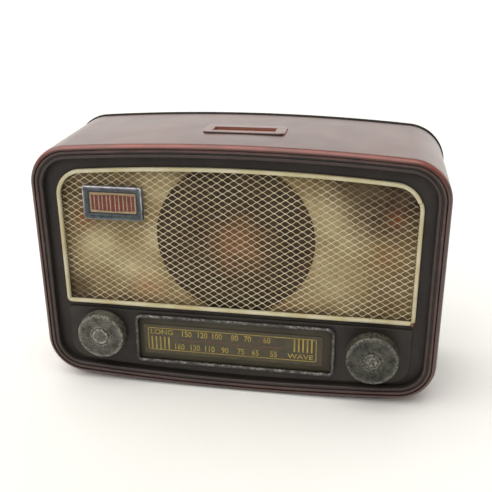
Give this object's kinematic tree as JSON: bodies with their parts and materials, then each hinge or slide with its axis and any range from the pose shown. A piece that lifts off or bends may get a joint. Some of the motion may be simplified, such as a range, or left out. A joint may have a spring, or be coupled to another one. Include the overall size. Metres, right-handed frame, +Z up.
{
  "type": "bakelite-style table radio money box",
  "caption": "Table-radio-shaped money box: arched lacquered sheet cabinet with coin slot, mesh grille, dial, turning knobs and a hinged coin door with a cam lock.",
  "frame": {"origin": "centre of the bounding box in X and Y, on the surface that the feet stand on", "axes": "+X to the right seen from the front, +Y towards the back (the grille faces -Y), +Z up"},
  "size_m": [0.2418, 0.089, 0.1591],
  "materials": {
    "red_brown_lacquer": "glossy dark red-brown lacquer on sheet metal, lightly scratched",
    "dark_lacquer": "satin brown-black lacquer with rubbed edges",
    "black_lacquer": "satin black lacquer",
    "cream_paint": "aged cream paint with rust and yellowed wear",
    "cream_mesh": "cream-beige paint on expanded metal",
    "speaker_brown": "matt dark brown paint on card",
    "backing_paint": "cream-khaki paint, shaded brown towards the edges",
    "badge_steel": "dark blued steel with bright worn edges",
    "badge_cream": "cream printed plate",
    "dial_olive": "satin olive-grey paint",
    "dial_print": "olive-grey label with gold print",
    "worn_silver": "worn silver wire, dark in the recesses",
    "pewter": "dark cast metal, dry-brushed with silver",
    "zinc_plate": "zinc-plated",
    "brass": "dull brass",
    "rubber": "black rubber"
  },
  "bodies": {
    "root": {"back_flange_left": "black_lacquer", "back_flange_right": "black_lacquer", "back_panel": "black_lacquer", "back_screw_bottom_left": "zinc_plate", "back_screw_bottom_right": "zinc_plate", "back_screw_top_left": "zinc_plate", "back_screw_top_right": "zinc_plate", "backing_clip_bottom_left": "zinc_plate", "backing_clip_bottom_right": "zinc_plate", "backing_clip_top_left": "zinc_plate", "backing_clip_top_right": "zinc_plate", "badge_frame": "badge_steel", "badge_plate": "badge_cream", "cabinet_shell": "red_brown_lacquer", "coin_slot_bezel": "red_brown_lacquer", "dial_plate": "dial_olive", "dial_scale_label": "dial_print", "dial_wire_frame": "worn_silver", "door_hinge_leaf": "zinc_plate", "door_hinge_pin": "zinc_plate", "fascia_flange_left": "black_lacquer", "fascia_flange_right": "black_lacquer", "fascia_plate": "dark_lacquer", "foot_front_left": "rubber", "foot_front_right": "rubber", "foot_rear_left": "rubber", "foot_rear_right": "rubber", "foot_screw_front_left": "zinc_plate", "foot_screw_front_right": "zinc_plate", "foot_screw_rear_left": "zinc_plate", "foot_screw_rear_right": "zinc_plate", "front_rim": "dark_lacquer", "grille_backing": "backing_paint", "grille_mesh": "cream_mesh", "grille_trim_hoop": "cream_paint", "grille_trim_pin": "brass", "grille_trim_upright": "cream_paint", "left_knob_bush": "brass", "lower_panel": "dark_lacquer", "rear_rim": "black_lacquer", "right_knob_bush": "brass", "speaker_disc": "speaker_brown"},
    "left_knob_body": {"left_knob": "pewter", "left_knob_pin": "pewter", "left_knob_spacer": "rubber", "left_knob_clip": "zinc_plate"},
    "right_knob_body": {"right_knob": "pewter", "right_knob_pin": "pewter", "right_knob_spacer": "rubber", "right_knob_clip": "zinc_plate"},
    "coin_door_body": {"coin_door": "black_lacquer", "door_lock_body": "zinc_plate", "door_lock_nut": "zinc_plate"},
    "door_lock_turning": {"door_lock_plug": "brass", "door_lock_cam": "zinc_plate"}
  },
  "joints": [
    {"name": "left_knob_turn", "type": "hinge", "parent": "root", "child": "left_knob_body", "pos_m": [-0.0831, -0.03628, 0.0347], "axis": [0, 1, 0], "continuous": true},
    {"name": "right_knob_turn", "type": "hinge", "parent": "root", "child": "right_knob_body", "pos_m": [0.0831, -0.04027, 0.0347], "axis": [0, 1, 0], "continuous": true},
    {"name": "coin_door_swing", "type": "hinge", "parent": "root", "child": "coin_door_body", "pos_m": [-0.0395, 0.04272, 0.045], "axis": [0, 0, 1], "range_deg": [0, 110]},
    {"name": "door_lock_turn", "type": "hinge", "parent": "coin_door_body", "child": "door_lock_turning", "pos_m": [0.027, 0.03973, 0.045], "axis": [0, 1, 0], "range_deg": [0, 90]}
  ]
}
